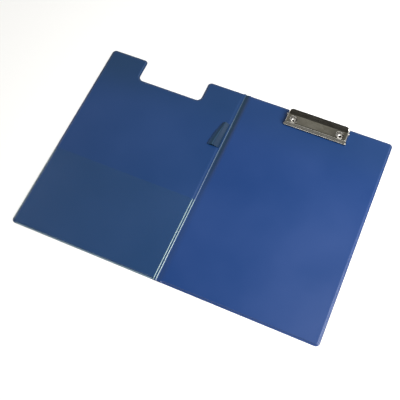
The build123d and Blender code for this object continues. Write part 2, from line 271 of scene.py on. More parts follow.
def joined_rows(rows, closed):
    """The faces between rows of points, which a closed row also joins at its ends."""
    faces = []
    for low, high in zip(rows, rows[1:]):
        for k in range(len(low) if closed else len(low) - 1):
            after = (k + 1) % len(low)
            faces.append((low[k], low[after], high[after], high[k]))
    return faces


def cover_sheet(corners, line, height, covered, upward):
    """A sheet's points and faces: rings round the edge that follow line, and a mesh
    of even triangles inside them. height gives a point's own height from its ring's."""
    points, rings = [], []
    for inset, z in line:
        ring = outline_ring(corners, inset)
        rings.append(range(len(points), len(points) + len(ring)))
        points += [(p.x, p.y, height(p.x, p.y, inset, z)) for p in ring]
    faces = joined_rows(rings, closed=True)
    inner = rings[-1]
    flat = [Vector(points[i][:2]) for i in inner]
    xs = [c[0] for c in corners]
    ys = [c[1] for c in corners]
    across = np.arange(min(xs) + GRID_STEP, max(xs) - GRID_STEP / 2, GRID_STEP)
    along = np.arange(min(ys) + GRID_STEP, max(ys) - GRID_STEP / 2, GRID_STEP)
    flat += [Vector((x, y)) for x in across for y in along if covered(x, y)]
    edges = [(k, (k + 1) % len(inner)) for k in range(len(inner))]
    spots, _, triangles, sources, _, _ = delaunay_2d_cdt(flat, edges, [], 1, 1e-5)
    inset, z = line[-1]
    where = []
    for spot, source in zip(spots, sources):
        if source and source[0] < len(inner):
            where.append(inner[source[0]])
        else:
            where.append(len(points))
            points.append((spot.x, spot.y, height(spot.x, spot.y, inset, z)))
    for a, b, c in triangles:
        one, two, three = (Vector(points[where[i]][:2]) for i in (a, b, c))
        if (two - one).cross(three - one) < 0:
            a, b = b, a
        faces.append((where[a], where[b], where[c]))
    if not upward:
        faces = [tuple(reversed(face)) for face in faces]
    return points, faces


def front_corners(spine_side):
    """The front cover's corners and notch, counterclockwise from its lower left."""
    return [
        (-COVER_X, -COVER_Y, COVER_CORNER),
        (spine_side, -COVER_Y, 0),
        (spine_side, COVER_Y, 0),
        (NOTCH_RIGHT, COVER_Y, COVER_CORNER),
        (NOTCH_RIGHT, NOTCH_FLOOR_Y, NOTCH_CORNER),
        (NOTCH_LEFT, NOTCH_FLOOR_Y, NOTCH_CORNER),
        (NOTCH_LEFT, COVER_Y, COVER_CORNER),
        (-COVER_X, COVER_Y, COVER_CORNER),
    ]


def back_corners(spine_side):
    """The back cover's corners, counterclockwise from its lower left."""
    return [
        (spine_side, -COVER_Y, 0),
        (COVER_X, -COVER_Y, COVER_CORNER),
        (COVER_X, COVER_Y, COVER_CORNER),
        (spine_side, COVER_Y, 0),
    ]


def inside_front(x, y):
    """Whether a grid point lies on the front cover's flat face."""
    margin = GRID_STEP
    at_notch = NOTCH_LEFT - margin < x < NOTCH_RIGHT + margin and y > NOTCH_FLOOR_Y - margin
    return -COVER_X + margin < x < -SPINE_ZONE and abs(y) < COVER_Y - margin and not at_notch


def inside_back(x, y):
    """Whether a grid point lies on the back cover's flat face."""
    margin = GRID_STEP
    return SPINE_ZONE < x < COVER_X - margin and abs(y) < COVER_Y - margin


def noise_value(tree, scale, place=None, detail=2, roughness=0.5):
    """A cloudy value, in a given place or over the whole piece."""
    noise_node = tree.nodes.new("ShaderNodeTexNoise")
    noise_node.inputs["Scale"].default_value = scale
    noise_node.inputs["Detail"].default_value = detail
    noise_node.inputs["Roughness"].default_value = roughness
    if place:
        tree.links.new(place, noise_node.inputs["Vector"])
    return noise_node.outputs["Fac"]


def paint_steps(tree, source, steps):
    """Paints the shader with a colour that runs through steps."""
    tree.links.new(colour_steps(tree, source, steps), tree.nodes["Principled BSDF"].inputs["Base Color"])


def spread_roughness(tree, source, source_range, roughness_range):
    """Lets the shader's roughness follow a value, from one range to another."""
    spread = tree.nodes.new("ShaderNodeMapRange")
    spread.inputs["From Min"].default_value, spread.inputs["From Max"].default_value = source_range
    spread.inputs["To Min"].default_value, spread.inputs["To Max"].default_value = roughness_range
    tree.links.new(source, spread.inputs["Value"])
    tree.links.new(spread.outputs["Result"], tree.nodes["Principled BSDF"].inputs["Roughness"])


def emboss(tree, source, strength, depth, under=None):
    """A bump of a depth in millimetres on the shader, over the one under it."""
    bump = tree.nodes.new("ShaderNodeBump")
    bump.inputs["Strength"].default_value = strength
    bump.inputs["Distance"].default_value = depth * MM
    tree.links.new(source, bump.inputs["Height"])
    if under:
        tree.links.new(under, bump.inputs["Normal"])
    tree.links.new(bump.outputs["Normal"], tree.nodes["Principled BSDF"].inputs["Normal"])
    return bump.outputs["Normal"]


def pvc_film(name, colour, worn_colour, roughness, grain_depth, cloud_size):
    """Soft PVC: a leather-like fine grain pressed in, a slight orange peel and
    clouds of a second colour where the film has been handled."""
    material, tree, shader = plain_material(name, colour, roughness)
    shader.inputs["IOR"].default_value = PVC_IOR
    place = tree.nodes.new("ShaderNodeTexCoord").outputs["Object"]
    clouds = noise_value(tree, 1 / cloud_size, place, detail=3, roughness=0.45)
    paint_steps(tree, clouds, [(0.36, colour), (0.68, worn_colour)])
    spread_roughness(tree, clouds, (0.3, 0.7), (roughness - 0.04, roughness + 0.05))
    peel = emboss(tree, noise_value(tree, PEEL_SCALE, place), 0.5, 2 * grain_depth)
    grain = tree.nodes.new("ShaderNodeTexVoronoi")
    grain.inputs["Scale"].default_value = GRAIN_SCALE
    tree.links.new(place, grain.inputs["Vector"])
    emboss(tree, grain.outputs["Distance"], 0.6, grain_depth, peel)
    return material


outer_pvc = pvc_film("outer_pvc", PVC_BLUE, PVC_BLUE_WORN, 0.38, 0.03, 0.09)

RIVET_PLACES = [(84.3, 151.0), (160.3, 151.0)]
RIVET_HEAD_RADIUS = 4.5
DIMPLE_RADIUS = 5.4
DIMPLE_DEPTH = 0.32


def height_from_edge(line, away):
    """The height that a film's line has at a distance from the edge."""
    return float(np.interp(away, [inset for inset, _ in line], [z for _, z in line]))


def outer_height(x, y, inset, z):
    """The outer film's height: flat on the table, grooved at its crease, and
    pressed up round each rivet head."""
    if abs(x) < SPINE_ZONE:
        z = height_from_edge(OUTER_FILM_LINE, COVER_Y - abs(y))
        z += CREASE_GROOVE * max(0, 1 - abs(abs(x) - CREASE_X) / 0.3)
    for place in RIVET_PLACES:
        away = dist((x, y), place)
        if away < DIMPLE_RADIUS:
            share = (DIMPLE_RADIUS - away) / (DIMPLE_RADIUS - RIVET_HEAD_RADIUS)
            z += DIMPLE_DEPTH * min(1, share) ** 2
    return z


def bend_at_crease(piece):
    """Bakes a film's place into its mesh."""
    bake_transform(piece)


def outer_film(name, corners, covered, nodes):
    """One half of the outer film, from its cover's edge to the middle of the spine."""
    points, faces = cover_sheet(corners, OUTER_FILM_LINE, outer_height, covered, upward=False)
    film = make_piece(name, points, faces)
    thicken(film, FILM)
    film.data.materials.append(outer_pvc)
    bend_at_crease(film)
    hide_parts(*nodes)


outer_film(
    "front_outer_film", front_corners(0), inside_front,
    ["front_cover_outer_skin", "spine_outer_skin"],
)


def outside_rivets(x, y):
    """Whether a grid point lies on the back cover and clear of the rivet dimples."""
    return inside_back(x, y) and all(dist((x, y), place) > DIMPLE_RADIUS + 1 for place in RIVET_PLACES)


outer_film("back_outer_film", back_corners(0), outside_rivets, ["back_cover_outer_skin"])


# The boards: 2 mm grey chipboard panels, one in each cover, held between the
# films inside their weld. They keep their CAD shape and never show.
GREYBOARD = (0.30, 0.285, 0.26, 1)
GREYBOARD_FLECK = (0.17, 0.16, 0.15, 1)

greyboard, greyboard_tree, _ = plain_material("greyboard", GREYBOARD, 0.95)
paint_steps(greyboard_tree, noise_value(greyboard_tree, 700), [(0.3, GREYBOARD_FLECK), (0.5, GREYBOARD)])


def cover_node(node, material):
    """Puts one material on all of a CAD node."""
    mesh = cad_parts[node].data
    mesh.materials.clear()
    mesh.materials.append(material)
    for face in mesh.polygons:
        face.material_index = 0


cover_node("back_cover_board", greyboard)
cover_node("front_cover_board", greyboard)


# The inner film: the same blue PVC, welded round the edge and drawn up over the
# boards. Its spare width stands up as one sharp ridge along the spine, left of
# the middle, with a hollow on the right. The two halves meet on the ridge's crest.
CREST_X = -2.5
CREST_DRIFT = 0.8
INNER_FILM_LINE = [
    (0, 0.5), (0.04, 0.57), (0.12, 0.6), (0.25, 0.6), (0.45, 0.6), (0.6, 0.6), (0.72, 0.52), (0.84, 0.48),
    (1.2, 0.48), (1.34, 0.54), (1.5, 0.6), (1.8, 0.62), (2.0, 0.74), (2.2, 1.08), (2.45, 1.62), (2.7, 2.08),
    (2.95, 2.36), (3.25, 2.52), (3.7, 2.59), (4.4, 2.6), (4.9, 2.6), (5.4, 2.6), (6.1, 2.6), (6.8, 2.6),
    (7.5, 2.6), (8.2, 2.6), (8.9, 2.6), (9.6, 2.6), (10.4, 2.6), (11.4, 2.6),
]
# distance from the crest and height, across the front half, and across the back
# half where the hollow is deep, near the top, and where it is shallow, near the foot
FRONT_OF_CREST = [
    (0, 2.3), (0.12, 2.28), (0.25, 2.2), (0.45, 2.1), (0.84, 2.02), (1.5, 2.0), (2.5, 2.02), (3.25, 2.14),
    (3.7, 2.25), (4.4, 2.44), (4.9, 2.54), (5.4, 2.6),
]
DEEP_HOLLOW = [
    (0, 2.3), (0.12, 2.27), (0.25, 2.19), (0.45, 1.98), (0.6, 1.66), (0.84, 1.0), (1.2, 0.68), (1.8, 0.6),
    (2.95, 0.6), (3.7, 0.68), (4.4, 0.84), (5.4, 1.14), (6.1, 1.4), (7.5, 1.92), (8.9, 2.36), (9.6, 2.52),
    (10.4, 2.6),
]
SHALLOW_HOLLOW = [
    (0, 2.3), (0.12, 2.27), (0.25, 2.19), (0.45, 2.02), (0.6, 1.86), (0.84, 1.66), (1.2, 1.58), (1.8, 1.62),
    (2.95, 1.76), (4.4, 1.98), (6.1, 2.2), (7.5, 2.36), (8.9, 2.5), (10.4, 2.6),
]
# painted shade for the hollow right of the crest
HOLLOW_PAINTED_SHADE = (0.0075, 0.027, 0.05, 1)
# stress whitening along the crest, with a painted highlight
CREST_PALE_AND_HIGHLIGHT = (0.2, 0.3, 0.42, 1)
# the back film's blues: the front's PVC painted bluer and brighter, as painted light on the back cover
LIT_BACK_BLUE = (0.0083, 0.0408, 0.163, 1)
LIT_BACK_BLUE_WORN = (0.0113, 0.0465, 0.18, 1)
# painted shade towards the head of the covers
HEAD_SHADE_BLUE = (0.0062, 0.035, 0.085, 1)


def fade(value, middle, width):
    """Falls softly from 1 to 0 round a middle value. A negative width makes it rise."""
    return 1 / (1 + exp((value - middle) / width))


def within_one(value):
    """A value held between 0 and 1."""
    return max(0, min(1, value))


def depth_of_hollow(y):
    """How deep the hollow is along the spine, from 1 near the top to 0 near the foot."""
    return fade(y, 22, -16)


def wave(*place):
    """A smooth random height at a place, from about -1 to 1."""
    return noise.noise(Vector(place))


def spine_height(x, y):
    """The inner film's height across the spine, from cover to cover."""
    away = abs(x - CREST_X)
    if x < CREST_X:
        z = height_from_edge(FRONT_OF_CREST, away)
    else:
        deep = depth_of_hollow(y)
        z = deep * height_from_edge(DEEP_HOLLOW, away) + (1 - deep) * height_from_edge(SHALLOW_HOLLOW, away)
    near_crest = max(0, 1 - away / 1.5)
    return z + near_crest * (0.08 * sin(y / 31 + 1) + 0.05 * sin(y / 9) - 0.006 * max(0, y - 118))


def inner_height(x, y, inset, z):
    """The inner film's height: its line round the edge, its run across the spine
    and slight waves over the boards."""
    if abs(x) < SPINE_ZONE:
        weld = within_one((abs(x) - 3.4) / 3.6)
        edge = height_from_edge(INNER_FILM_LINE, COVER_Y - abs(y))
        return min(spine_height(x, y), edge + 2.2 * (1 - weld))
    waves = wave(x / 70, y / 55, 0.3) + 0.4 * wave(x / 26, y / 30, 4.1)
    return z - 0.05 * (1 + waves) * within_one((inset - 4) / 6)


def crest_drift(y):
    """How far the crest has drifted towards the front cover, from the top to the foot."""
    return CREST_DRIFT * (0.5 - y / (2 * COVER_Y)) + 0.1 * sin(y / 23)


def drift_with_crest(points):
    """Moves the film over the spine along with the crest."""
    return [(x - max(0, 1 - abs(x - CREST_X) / 2.6) * crest_drift(y), y, z) for x, y, z in points]


def paint_over(piece, material, name, share_at, colour):
    """Mixes a colour over a material's own, as far as a share from 0 to 1 says, which
    every point of the piece is given."""
    layer = piece.data.attributes.new(name, "FLOAT", "POINT")
    layer.data.foreach_set("value", [share_at(*(c / MM for c in v.co)) for v in piece.data.vertices])
    nodes, links = material.node_tree.nodes, material.node_tree.links
    share = nodes.new("ShaderNodeAttribute")
    share.attribute_name = name
    mix = nodes.new("ShaderNodeMix")
    mix.data_type = "RGBA"
    mix.inputs["B"].default_value = colour
    painted = nodes["Principled BSDF"].inputs["Base Color"]
    links.new(painted.links[0].from_socket, mix.inputs["A"])
    links.new(share.outputs["Fac"], mix.inputs["Factor"])
    links.new(mix.outputs["Result"], painted)


def crest_pale_and_highlight(x, y, z):
    """The pale line of stress whitening where the film is sharply folded on the crest, with a painted
    highlight along it.
    """
    away = x - (CREST_X - crest_drift(y)) - 0.2
    broken = 0.8 + 0.2 * wave(0, y / 7, 2.2)
    faint = 1 - 0.55 * fade(y, 112, -6)
    return within_one(0.8 * broken * faint * exp(-(away / 0.34) ** 2)) if z > 1.2 else 0


def hollow_painted_shade(x, y, z):
    """Painted shade in the hollow right of the crest, strongest near the top."""
    if x < CREST_X - crest_drift(y) or x > SPINE_ZONE:
        return 0
    return 0.9 * fade(x, 3.6, 0.9) * (0.2 + 0.8 * fade(y, 10, -20))


def head_painted_shade(x, y, z):
    """Painted shade: the film duller and darker towards the head of both covers, most at the left."""
    return (0.32 + 0.4 * fade(x, -165, 22)) * fade(y, 112, -14)


def inner_film(name, corners, covered, material, nodes):
    """One half of the inner film, from its cover's edge to the ridge's crest."""
    points, faces = cover_sheet(corners, INNER_FILM_LINE, inner_height, covered, upward=True)
    film = make_piece(name, drift_with_crest(points), faces, crease_angle=50)
    thicken(film, FILM, crease_angle=50)
    film.data.materials.append(material)
    # painted shade, darker towards the head of the covers
    paint_over(film, material, "head_painted_shade", head_painted_shade, HEAD_SHADE_BLUE)
    # painted shade in the hollow right of the crest
    paint_over(film, material, "hollow_painted_shade", hollow_painted_shade, HOLLOW_PAINTED_SHADE)
    # stress whitening and a painted highlight along the crest
    paint_over(film, material, "crest_pale_and_highlight", crest_pale_and_highlight, CREST_PALE_AND_HIGHLIGHT)
    bend_at_crease(film)
    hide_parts(*nodes)


front_pvc = pvc_film("front_inner_pvc", PVC_BLUE, PVC_BLUE_WORN, 0.36, 0.02, 0.12)
back_pvc = pvc_film("back_inner_pvc", LIT_BACK_BLUE, LIT_BACK_BLUE_WORN, 0.36, 0.02, 0.12)
inner_film(
    "front_inner_film", front_corners(CREST_X), inside_front,
    front_pvc, ["front_cover_inner_liner", "spine_inner_liner"],
)
inner_film(
    "back_inner_film", back_corners(CREST_X), inside_back,
    back_pvc, ["back_cover_inner_liner"],
)


# The clear pocket: glass-clear PVC, 0.2 mm thick, welded at the front cover's
# left edge, at its foot and along the spine, and open at the top. It runs over
# the crease and ends on the ridge.
POCKET_WALL = 0.2
POCKET_TOP_Y = -33.0
POCKET_SPARE = 40
POCKET_SPINE_X = -1.9
POCKET_LIFT = 0.24
POCKET_LINE = [
    (0.1, 0.8), (0.3, 0.82), (0.62, 0.82), (0.74, 0.74), (0.86, 0.7), (1.2, 0.7), (1.34, 0.76), (1.5, 0.82),
    (1.75, 0.88), (1.9, 1.06), (2.1, 1.5), (2.35, 2.05), (2.6, 2.46), (2.9, 2.76), (3.3, 2.94), (3.9, 3.0),
    (4.6, 3.0), (5.2, 3.0), (6.0, 3.0), (7.0, 3.0), (8.0, 3.0), (9.0, 3.0), (10.0, 3.0), (11.0, 3.0),
]
CLEAR_TINT = (0.06, 0.13, 0.15, 1)
CLEAR_COVER = 0.055


def pocket_height(x, y, inset, z):
    """The clear film's height: drawn tight at its welds, with a mouth that lifts a little."""
    if abs(x) < SPINE_ZONE:
        settled = within_one((-x - 8) / 4)
        over_film = max(spine_height(x, y), 2.05 if x > CREST_X else 0) + POCKET_LIFT + 0.16 * settled
        return min(over_film, height_from_edge(POCKET_LINE, COVER_Y + y) + 0.2)
    loose = within_one((inset - 3.3) / 3)
    waves = 0.07 * wave(x / 45, y / 38, 7.7)
    inward = min(1, (x + COVER_X) / 30, (-SPINE_ZONE - x) / 30)
    mouth = 0.2 * exp(-(POCKET_TOP_Y - min(y, POCKET_TOP_Y)) / 14) * max(0, inward)
    return z + loose * (waves + mouth)


def inside_pocket(x, y):
    """Whether a grid point lies on the pocket's flat face, below its mouth."""
    margin = GRID_STEP
    return -COVER_X + margin < x < -SPINE_ZONE and -COVER_Y + margin < y < POCKET_TOP_Y + 1.5 * margin


pocket_corners = [
    (-COVER_X, -COVER_Y, COVER_CORNER),
    (POCKET_SPINE_X, -COVER_Y, 0),
    (POCKET_SPINE_X, POCKET_TOP_Y + POCKET_SPARE, 0),
    (-COVER_X, POCKET_TOP_Y + POCKET_SPARE, 0),
]
pocket_points, pocket_faces = cover_sheet(
    pocket_corners, POCKET_LINE, pocket_height, inside_pocket, upward=True
)
clear_pocket = make_piece("clear_pocket_film", drift_with_crest(pocket_points), pocket_faces)
# the spare length over the mouth is cut off
work = bmesh.new()
work.from_mesh(clear_pocket.data)
bmesh.ops.bisect_plane(
    work, geom=work.verts[:] + work.edges[:] + work.faces[:],
    plane_co=(0, POCKET_TOP_Y * MM, 0), plane_no=(0, 1, 0), clear_outer=True,
)
work.to_mesh(clear_pocket.data)
work.free()
thicken(clear_pocket, POCKET_WALL)

clear_pvc, clear_tree, clear_shader = plain_material("clear_pvc", CLEAR_TINT, 0.2)
clear_shader.inputs["IOR"].default_value = PVC_IOR
clear_shader.inputs["Alpha"].default_value = CLEAR_COVER
spread_roughness(clear_tree, noise_value(clear_tree, 22), (0, 1), (0.1, 0.32))
clear_pocket.data.materials.append(clear_pvc)
bend_at_crease(clear_pocket)
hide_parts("clear_pocket")


# The pocket's welds: where the hot tool squeezes the clear PVC, it stands up in
# milky beads. Two run along the spine, the others at the foot and the left edge.
MILKY_TINT = (0.44, 0.6, 0.58, 1)
MILKY_SHADE = (0.27, 0.4, 0.41, 1)
MILKY_COVER = 0.8
WELD_FACE = 0.72
BEAD_SUNK = 0.08
BEAD_SIDES = 8
BEAD_ROWS = 70
# name: the two ends' X and Y, half width, height, and whether it lies on the spine
WELD_BEADS = {
    "spine_bead_left": ((-6.6, -169.6), (-6.2, -33.2), 0.55, 0.3, True),
    "spine_bead_right": ((-2.5, -169.6), (-2.5, -33.2), 0.5, 0.28, True),
    "foot_bead": ((-234.0, -168.98), (-8.0, -168.98), 0.34, 0.2, False),
    "left_bead": ((-238.98, -164.0), (-238.98, -34.0), 0.3, 0.16, False),
}

milky_pvc, milky_tree, milky_shader = plain_material("milky_weld", MILKY_TINT, 0.25)
milky_shader.inputs["IOR"].default_value = PVC_IOR
milky_shader.inputs["Alpha"].default_value = MILKY_COVER
milky_spots = noise_value(milky_tree, 350)
paint_steps(milky_tree, milky_spots, [(0.3, MILKY_SHADE), (0.6, MILKY_TINT)])
emboss(milky_tree, milky_spots, 0.5, 0.05)


def weld_bead(name, low_end, high_end, half, height, on_spine):
    """One bead: a low rounded rib along a weld, closed underneath."""
    along = Vector((high_end[0] - low_end[0], high_end[1] - low_end[1]))
    across = Vector((along.y, -along.x)).normalized()
    rows, points = [], []
    for j in range(BEAD_ROWS + 1):
        x, y = Vector(low_end) + along * (j / BEAD_ROWS)
        swell = 1 + 0.12 * sin(j * 1.3) + 0.08 * sin(j * 3.1)
        taper = min(1, 0.3 + j / 3, 0.3 + (BEAD_ROWS - j) / 3)
        rows.append(range(len(points), len(points) + BEAD_SIDES + 1))
        for k in range(BEAD_SIDES + 1):
            turn = pi * k / BEAD_SIDES
            spot = Vector((x, y)) + across * half * cos(turn) * (0.6 + 0.4 * taper)
            base = pocket_height(spot.x, spot.y, 5, 3.0) if on_spine else WELD_FACE
            points.append((spot.x, spot.y, base - BEAD_SUNK + height * swell * taper * sin(turn)))
    faces = joined_rows(rows, closed=True) + [tuple(reversed(rows[0])), tuple(rows[-1])]
    bead = make_piece(name, drift_with_crest(points) if on_spine else points, faces)
    bead.data.materials.append(milky_pvc)
    if on_spine:
        bend_at_crease(bead)
    else:
        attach(bead, "front_cover")


for bead_name, bead in WELD_BEADS.items():
    weld_bead(bead_name, *bead)


# The pen loop: a band of glossy PVC, painted dark navy as shade, both ends welded
# together beside the ridge. It lies nearly flat, wide at its lower end and narrower at the top.
LOOP_LOW_Y = 62.0
LOOP_HIGH_Y = 107.0
LOOP_WALL = 0.4
LOOP_ROOT_X = -4.6
LOOP_LINE = [
    (-4.6, 2.34), (-5.6, 2.36), (-6.6, 2.5), (-7.6, 2.8), (-8.8, 3.04), (-11.0, 3.08), (-15.0, 3.08),
    (-19.0, 3.08), (-21.6, 3.1), (-22.8, 3.22), (-23.3, 3.5), (-23.0, 3.8), (-22.0, 4.15), (-20.4, 4.7),
    (-18.6, 5.4), (-17.2, 5.95), (-16.0, 6.22), (-14.8, 6.1), (-13.2, 5.6), (-11.4, 4.9), (-9.6, 4.1),
    (-8.0, 3.4), (-6.6, 2.98), (-5.6, 2.8), (-4.6, 2.74),
]
# the loop's navy and green are painted shade; its outer fold is nearly the cover's own blue
LOOP_NAVY_SHADE = (0.0032, 0.0205, 0.06, 1)
LOOP_GREEN_SHADE = (0.0075, 0.034, 0.07, 1)
LOOP_FADE = (0.009, 0.04, 0.12, 1)
# a pale fold and a painted highlight along the loop's crest
LOOP_CREST_HIGHLIGHT = (0.05, 0.1, 0.17, 1)
LOOP_TAPER = 0.45
LOOP_ROWS = 30


def even_rows(count, length):
    """The points' numbers, in a count of rows of one length."""
    return [range(i * length, (i + 1) * length) for i in range(count)]


def spline_through(stops, count):
    """Even points on a smooth curve through the stops."""
    stops = [Vector((x, 0, z)) for x, z in stops]
    fine = []
    for i in range(len(stops) - 1):
        p0, p1, p2, p3 = stops[max(i - 1, 0)], stops[i], stops[i + 1], stops[min(i + 2, len(stops) - 1)]
        for k in range(8):
            t = k / 8
            fine.append(0.5 * (2 * p1 + (p2 - p0) * t + (2 * p0 - 5 * p1 + 4 * p2 - p3) * t * t
                               + (3 * p1 - p0 - 3 * p2 + p3) * t * t * t))
    fine.append(stops[-1])
    lengths = np.cumsum([0] + [(b - a).length for a, b in zip(fine, fine[1:])])
    wanted = np.linspace(0, lengths[-1], count)
    return [
        (float(np.interp(w, lengths, [p.x for p in fine])), float(np.interp(w, lengths, [p.z for p in fine])))
        for w in wanted
    ]


def loop_slimness(y):
    """The loop's width as a share of its width at the lower end."""
    return 1 - LOOP_TAPER * max(0, (y - LOOP_LOW_Y) / (LOOP_HIGH_Y - LOOP_LOW_Y)) ** 1.6


def loop_side(x, y):
    """Where a point would be across the loop if it weren't tapered."""
    return LOOP_ROOT_X + (x - LOOP_ROOT_X) / loop_slimness(y)


def loop_painted_green_shade(x, y, z):
    """Painted shade, greener, on the outer half of the loop."""
    return fade(loop_side(x, y), -15.5, 0.7)


def loop_fade_share(x, y, z):
    """The loop's outer fold, which is nearly the cover's own blue."""
    return 0.9 * fade(loop_side(x, y), -21.0, 0.9)


def loop_crest_pale_and_highlight(x, y, z):
    """The fold along the loop's crest, rubbed pale, with a painted highlight along it."""
    return 0.75 * exp(-((loop_side(x, y) + 15.9) / 0.5) ** 2) if z > 4.4 else 0


loop_line = spline_through(LOOP_LINE, 80)
loop_points = []
for j in range(LOOP_ROWS + 1):
    share = j / LOOP_ROWS
    y = LOOP_LOW_Y + (LOOP_HIGH_Y - LOOP_LOW_Y) * share
    slim = loop_slimness(y)
    for x, z in loop_line:
        lean = 0.12 * sin(share * 5 + x / 4) * within_one((z - 3.3) / 1.5)
        loop_points.append((LOOP_ROOT_X + (x - LOOP_ROOT_X) * slim, y, z + lean))
loop_faces = joined_rows(even_rows(LOOP_ROWS + 1, len(loop_line))[::-1], closed=False)
pen_loop = make_piece("pen_loop_band", loop_points, loop_faces, crease_angle=60)
thicken(pen_loop, LOOP_WALL, crease_angle=60)

loop_pvc, loop_tree, loop_shader = plain_material("loop_pvc", LOOP_NAVY_SHADE, 0.5)
loop_shader.inputs["Specular IOR Level"].default_value = 0.28
paint_steps(loop_tree, noise_value(loop_tree, 120), [(0.35, LOOP_NAVY_SHADE), (0.75, LOOP_GREEN_SHADE)])
# painted shade, greener, on the loop's outer half
paint_over(pen_loop, loop_pvc, "painted_green_shade", loop_painted_green_shade, LOOP_GREEN_SHADE)
paint_over(pen_loop, loop_pvc, "fade_share", loop_fade_share, LOOP_FADE)
# a painted highlight and pale fold along the loop's crest
paint_over(pen_loop, loop_pvc, "crest_pale_and_highlight", loop_crest_pale_and_highlight, LOOP_CREST_HIGHLIGHT)
emboss(loop_tree, noise_value(loop_tree, 220), 0.4, 0.04)
pen_loop.data.materials.append(loop_pvc)
bend_at_crease(pen_loop)
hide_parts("pen_loop")


# The clip's base plate: zinc-plated steel, 0.8 mm, stamped and folded up into
# two ears that carry the rod. It lies on the inner film under the jaw.
ZINC = (0.48, 0.47, 0.45, 1)
ZINC_DULL = (0.36, 0.35, 0.33, 1)
# how fine the drawn lines are along and across the sheet
DRAWN_LINES = (60, 2600, 2600)


def softened_copy(node, name, width, crease_angle=30):
    """A copy of a CAD node's solid with its sheared edges rounded over by width."""
    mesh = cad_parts[node].data.copy()
    mesh.name = name
    mesh.materials.clear()
    work = bmesh.new()
    work.from_mesh(mesh)
    bmesh.ops.remove_doubles(work, verts=work.verts, dist=2e-6)
    bmesh.ops.dissolve_limit(
        work, angle_limit=radians(1), use_dissolve_boundaries=False, verts=work.verts, edges=work.edges
    )
    sheared = [
        edge for edge in work.edges
        if len(edge.link_faces) == 2 and edge.calc_face_angle(0) > radians(crease_angle)
    ]
    bmesh.ops.bevel(
        work, geom=sheared, offset=width * MM, offset_type="OFFSET", segments=2, profile=0.5,
        affect="EDGES", clamp_overlap=True,
    )
    bmesh.ops.triangulate(work, faces=[f for f in work.faces if len(f.verts) > 4])
    work.normal_update()
    work.to_mesh(mesh)
    work.free()
    piece = new_object(name, mesh)
    smooth(piece, crease_angle)
    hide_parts(node)
    return piece


def plated_steel(name, colour, dull_colour, roughness, wave_size, wave_depth):
    """Plated sheet steel: drawn lines along the sheet, cloudy dullness where it is
    handled, and the slight waves of a pressing."""
    material, tree, _ = plain_material(name, colour, roughness, metallic=1.0)
    place = tree.nodes.new("ShaderNodeTexCoord").outputs["Object"]
    paint_steps(tree, noise_value(tree, 160, place, detail=4), [(0.35, dull_colour), (0.6, colour)])
    stretch = tree.nodes.new("ShaderNodeMapping")
    stretch.inputs["Scale"].default_value = DRAWN_LINES
    tree.links.new(place, stretch.inputs["Vector"])
    lines = noise_value(tree, 1, stretch.outputs["Vector"])
    spread_roughness(tree, lines, (0.3, 0.7), (roughness - 0.015, roughness + 0.02))
    waves = noise_value(tree, 1 / (wave_size * MM), place, detail=1)
    emboss(tree, lines, 0.1, 0.002, emboss(tree, waves, 1, wave_depth))
    return material


base_plate = softened_copy("clip_base_plate", "base_plate", 0.12)
zinc = plated_steel("zinc_plating", ZINC, ZINC_DULL, 0.42, 9, 0.02)
base_plate.data.materials.append(zinc)
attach(base_plate, "back_cover")


# The two tubular rivets: bright nickelled steel. Each has a flat head under
# the cover, and a hollow end that is split by its set and rolled over on the
# base plate. One is split into a star of petals, the other into two halves.
RIVET_SEAT = 3.4
BORE_EDGE = 1.7
# radius and height over the seat, from the bore's depth out over the crown and back under it
FLARE_LINE = [
    (0.0, -0.55), (1.2, -0.55), (1.6, -0.45), (1.62, -0.2), (1.75, 0.5), (2.05, 1.1), (2.5, 1.5),
    (3.0, 1.68), (3.6, 1.72), (4.2, 1.64), (4.7, 1.42), (5.05, 1.08), (5.27, 0.64), (5.33, 0.2),
    (5.2, 0.02), (4.4, 0.0), (2.0, 0.0),
]
# radius and height over the table, round the flat head
HEAD_LINE = [
    (2.0, 0.55), (4.2, 0.55), (4.42, 0.48), (4.5, 0.36), (4.46, 0.2), (4.3, 0.1), (3.9, 0.06),
    (2.0, 0.05), (0.0, 0.05),
]
ROUND_STEPS = 96
RIVET_NICKEL = (0.93, 0.91, 0.87, 1)
RIVET_NICKEL_DULL = (0.82, 0.8, 0.75, 1)
# near-black painted shade for the hollow in each rivet's bore
BORE_SHADE = (0.02, 0.017, 0.014, 1)
BORE_SHADE_GREY = (0.06, 0.055, 0.05, 1)
# each rivet's splits, in degrees round it, and half their width
LEFT_SPLITS, LEFT_SPLIT_WIDTH = [20, 92, 164, 236, 308], 10
RIGHT_SPLITS, RIGHT_SPLIT_WIDTH = [52, 232], 14
# the points of the flare's line that are pressed down in a split
SPLIT_POINTS = range(5, 15)


def petal_gap(angle, splits, width):
    """How deep in a split a direction is, from 0 on a petal to 1 in the gap."""
    nearest = min(abs((angle - s + 180) % 360 - 180) for s in splits)
    return max(0.0, 1 - nearest / width) ** 0.7 if nearest < width else 0.0


